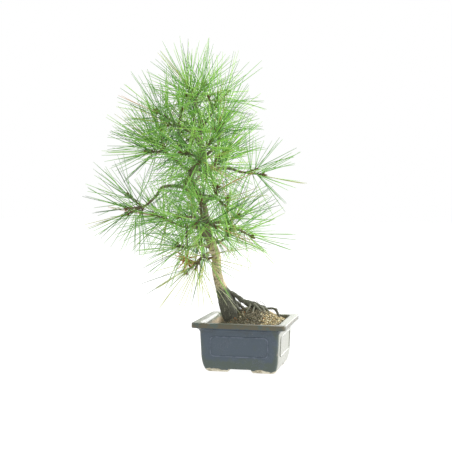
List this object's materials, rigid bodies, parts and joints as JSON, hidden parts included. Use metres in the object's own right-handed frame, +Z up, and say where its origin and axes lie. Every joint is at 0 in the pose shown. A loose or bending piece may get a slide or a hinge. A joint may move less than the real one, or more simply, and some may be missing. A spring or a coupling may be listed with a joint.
{
  "type": "potted japanese black pine bonsai",
  "caption": "Young Japanese black pine bonsai with a leaning trunk, bare arching roots and tufts of long needles, in a glazed rectangular pot on low feet.",
  "frame": {"origin": "middle of the whole plant's bounding box in plan, at the level the pot's feet stand on", "axes": "+Z up, -Y towards the pot's long front face, +X to the right of that face"},
  "size_m": [0.391, 0.3456, 0.5746],
  "materials": {
    "glaze": "dark blue-grey gloss glaze, greener at the edges and foot",
    "soil": "loose fired-clay and pumice grains",
    "bark": "rough light tan bark with dark flecks",
    "root_bark": "dark weathered root bark with moss",
    "needles": "long green pine needles in tufts"
  },
  "bodies": {
    "root": {"apex": "needles", "bough_back_high": "bark", "bough_back_low": "bark", "bough_back_mid": "bark", "bough_centre_right": "bark", "bough_foot_front": "bark", "bough_foot_left": "bark", "bough_foot_right": "bark", "bough_front_high": "bark", "bough_front_low": "bark", "bough_left_high": "bark", "bough_left_low": "bark", "bough_left_mid": "bark", "bough_low_left": "bark", "bough_low_right": "bark", "bough_right_far": "bark", "bough_right_high": "bark", "bough_right_mid": "bark", "centre_back": "needles", "centre_right": "needles", "far_right": "needles", "foot_front": "needles", "foot_left": "needles", "foot_right": "needles", "high_back": "needles", "high_left": "needles", "high_right": "needles", "low_back": "needles", "low_front": "needles", "low_left": "needles", "mid_front": "needles", "mid_left": "needles", "mid_right": "needles", "pot": "glaze", "root_arch": "root_bark", "root_fork": "root_bark", "root_knee": "root_bark", "root_strand": "root_bark", "soil": "soil", "trunk": "bark", "under_left": "needles", "under_right": "needles"}
  },
  "joints": []
}
